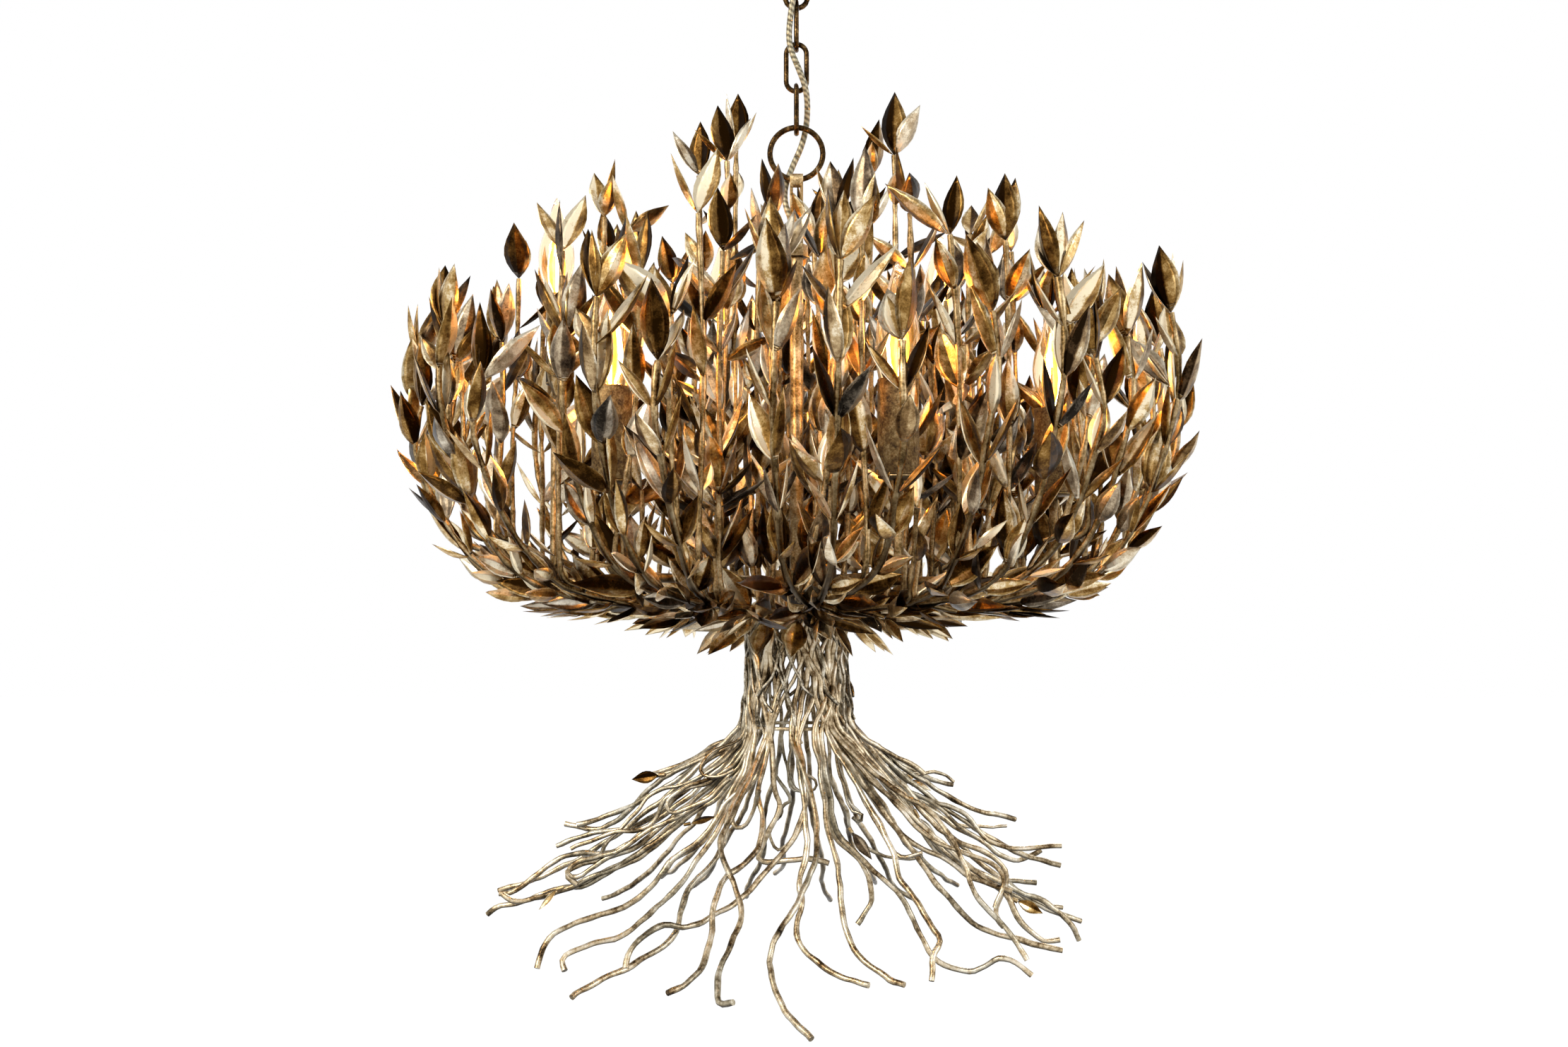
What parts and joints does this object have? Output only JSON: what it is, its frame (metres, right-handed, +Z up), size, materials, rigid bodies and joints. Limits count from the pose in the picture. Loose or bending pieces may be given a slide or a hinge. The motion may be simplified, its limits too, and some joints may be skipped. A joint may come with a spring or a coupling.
{
  "type": "pendant light",
  "caption": "Tree-shaped pendant light: a crown of leafy metal branches round flame bulbs, over a trunk and spreading roots of bent wire, hung on a chain.",
  "frame": {"origin": "middle of the canopy's top face, on the ceiling", "axes": "+Z up, out of the ceiling side of the canopy; -Y is the side the picture shows"},
  "size_m": [0.7552, 0.7552, 0.9626],
  "materials": {
    "antique_brass": "mottled antique patina",
    "champagne_wire": "pale champagne with dark wear",
    "dark_bronze": "dark bronze, satin",
    "aged_sleeve": "mottled brown and gold paint",
    "socket_plastic": "matt",
    "clear_glass": "clear",
    "cord_sheath": "greyish gold sheath"
  },
  "bodies": {
    "ceiling_body": {"canopy": "dark_bronze", "canopy_crossbar": "dark_bronze", "canopy_screws": "dark_bronze", "canopy_nut": "dark_bronze", "canopy_loop": "dark_bronze", "power_cord": "cord_sheath"},
    "chain_link_1": {"chain_link_1": "dark_bronze"},
    "chain_link_2": {"chain_link_2": "dark_bronze"},
    "chain_link_3": {"chain_link_3": "dark_bronze"},
    "hanging_ring": {"hanging_ring": "dark_bronze"},
    "chandelier": {"arm_hub": "dark_bronze", "branch_01": "antique_brass", "branch_02": "antique_brass", "branch_03": "antique_brass", "branch_04": "antique_brass", "branch_05": "antique_brass", "branch_06": "antique_brass", "branch_07": "antique_brass", "branch_08": "antique_brass", "branch_09": "antique_brass", "branch_10": "antique_brass", "branch_11": "antique_brass", "branch_12": "antique_brass", "high_bulbs": "clear_glass", "high_sleeves": "aged_sleeve", "high_sockets": "socket_plastic", "hub_nut": "dark_bronze", "hub_plate": "dark_bronze", "lamp_arm_1": "dark_bronze", "lamp_arm_2": "dark_bronze", "lamp_arm_3": "dark_bronze", "lamp_arm_4": "dark_bronze", "lamp_arm_5": "dark_bronze", "lamp_arm_6": "dark_bronze", "low_bulbs": "clear_glass", "low_sleeves": "aged_sleeve", "low_sockets": "socket_plastic", "root_wires_1": "champagne_wire", "root_wires_2": "champagne_wire", "root_wires_3": "champagne_wire", "root_wires_4": "champagne_wire", "root_wires_5": "champagne_wire", "root_wires_6": "champagne_wire", "root_wires_7": "champagne_wire", "root_wires_8": "champagne_wire", "stem_coupling": "dark_bronze", "stem_strap": "dark_bronze", "stem_tube": "dark_bronze", "trunk_foot_ring": "champagne_wire"}
  },
  "joints": [
    {"name": "link_1_swing", "type": "hinge", "parent": "ceiling_body", "child": "chain_link_1", "pos_m": [0, 0, -0.0672], "axis": [1, 0, 0], "range_deg": [-30, 30], "deforming": ["power_cord"]},
    {"name": "link_2_swing", "type": "hinge", "parent": "chain_link_1", "child": "chain_link_2", "pos_m": [0, 0, -0.1072], "axis": [0, 1, 0], "range_deg": [-30, 30], "deforming": ["power_cord"]},
    {"name": "link_3_swing", "type": "hinge", "parent": "chain_link_2", "child": "chain_link_3", "pos_m": [0, 0, -0.1473], "axis": [1, 0, 0], "range_deg": [-30, 30], "deforming": ["power_cord"]},
    {"name": "ring_swing", "type": "hinge", "parent": "chain_link_3", "child": "hanging_ring", "pos_m": [0, 0, -0.1874], "axis": [0, 1, 0], "range_deg": [-20, 20], "deforming": ["power_cord"]},
    {"name": "chandelier_swing", "type": "hinge", "parent": "hanging_ring", "child": "chandelier", "pos_m": [0, 0, -0.23185], "axis": [1, 0, 0], "range_deg": [-20, 20], "deforming": ["power_cord"]}
  ]
}
